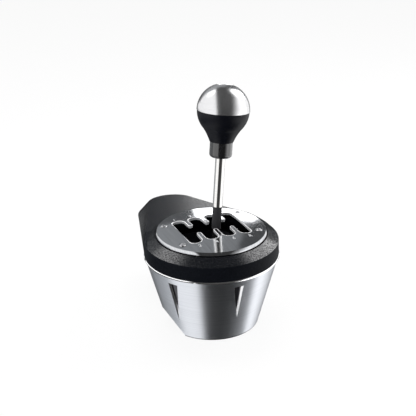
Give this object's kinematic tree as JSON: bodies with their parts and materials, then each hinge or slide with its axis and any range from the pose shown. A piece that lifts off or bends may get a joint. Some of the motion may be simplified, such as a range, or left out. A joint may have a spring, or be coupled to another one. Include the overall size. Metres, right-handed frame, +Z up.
{
  "type": "sim racing gear shifter",
  "caption": "Desk-clamped gear shifter for driving games: tapered metal body, H-pattern gate plate, chrome lever with ball knob.",
  "frame": {"origin": "centre of the round metal body at its flat underside", "axes": "+Z up, -Y towards the driver, +Y towards the desk clamp, +X to the driver's right"},
  "size_m": [0.15, 0.235, 0.2667],
  "materials": {
    "shroud": "polished, fine grain",
    "bottom_cover": "fine texture",
    "cover_screws": "black oxide",
    "chassis": "powder coat",
    "trunnion_bushes": "turned",
    "top_ring": "fine texture",
    "gate_plate": "brushed",
    "gate_screws": "black oxide",
    "ring_screws": "black oxide",
    "sensor_board": "lacquered",
    "connector_bay": "fine texture",
    "port_board": "lacquered",
    "data_socket": "tin plate",
    "clamp_arm": "powder coat",
    "arm_screws": "black oxide",
    "guide_rods": "ground",
    "upper_jaw": "fine texture",
    "jaw_screws": "black oxide",
    "upper_jaw_pad": "ribbed",
    "selector_yoke": "zinc",
    "trunnion_pins": "ground",
    "pivot_pin": "zinc",
    "pivot_nut": "zinc",
    "lever_shaft": "turned",
    "lever_magnet": "nickel plate",
    "gate_sleeve": "satin",
    "lever_rod": "polished",
    "knob_core": "moulded",
    "knob_grip": "satin",
    "knob_cap": "brushed",
    "knob_collar": "gloss",
    "clamp_screw": "zinc",
    "hand_wheel": "moulded",
    "lower_jaw": "moulded",
    "lower_jaw_pad": "ribbed"
  },
  "bodies": {
    "base": {"shroud": "shroud", "bottom_cover": "bottom_cover", "cover_screws": "cover_screws", "chassis": "chassis", "trunnion_bushes": "trunnion_bushes", "top_ring": "top_ring", "gate_plate": "gate_plate", "gate_screws": "gate_screws", "ring_screws": "ring_screws", "sensor_board": "sensor_board", "connector_bay": "connector_bay", "port_board": "port_board", "data_socket": "data_socket", "clamp_arm": "clamp_arm", "arm_screws": "arm_screws", "guide_rods": "guide_rods", "upper_jaw": "upper_jaw", "jaw_screws": "jaw_screws", "upper_jaw_pad": "upper_jaw_pad"},
    "selector_yoke": {"selector_yoke": "selector_yoke", "trunnion_pins": "trunnion_pins", "pivot_pin": "pivot_pin", "pivot_nut": "pivot_nut"},
    "shift_lever": {"lever_shaft": "lever_shaft", "lever_magnet": "lever_magnet", "gate_sleeve": "gate_sleeve", "lever_rod": "lever_rod", "knob_core": "knob_core", "knob_grip": "knob_grip", "knob_cap": "knob_cap", "knob_collar": "knob_collar"},
    "clamp_wheel": {"clamp_screw": "clamp_screw", "hand_wheel": "hand_wheel"},
    "clamp_jaw": {"lower_jaw": "lower_jaw", "lower_jaw_pad": "lower_jaw_pad"}
  },
  "joints": [
    {"name": "select", "type": "hinge", "parent": "base", "child": "selector_yoke", "pos_m": [0, 0, 0.028], "axis": [0, 1, 0], "range_deg": [-24.5, 13.4]},
    {"name": "shift", "type": "hinge", "parent": "selector_yoke", "child": "shift_lever", "pos_m": [0, 0, 0.028], "axis": [-0.9954, 0, 0.096], "range_deg": [-18.3, 12.8]},
    {"name": "clamp_turn", "type": "hinge", "parent": "base", "child": "clamp_wheel", "pos_m": [0, 0.084, 0.014], "axis": [0, 0, 1], "range_deg": [0, 2700]},
    {"name": "jaw_slide", "type": "slide", "parent": "base", "child": "clamp_jaw", "axis": [0, 0, 1], "range_m": [0, 0.03]}
  ],
  "couplings": [
    {"joint": "jaw_slide", "follows": "clamp_turn", "m_per_rad": 0.00063662}
  ]
}
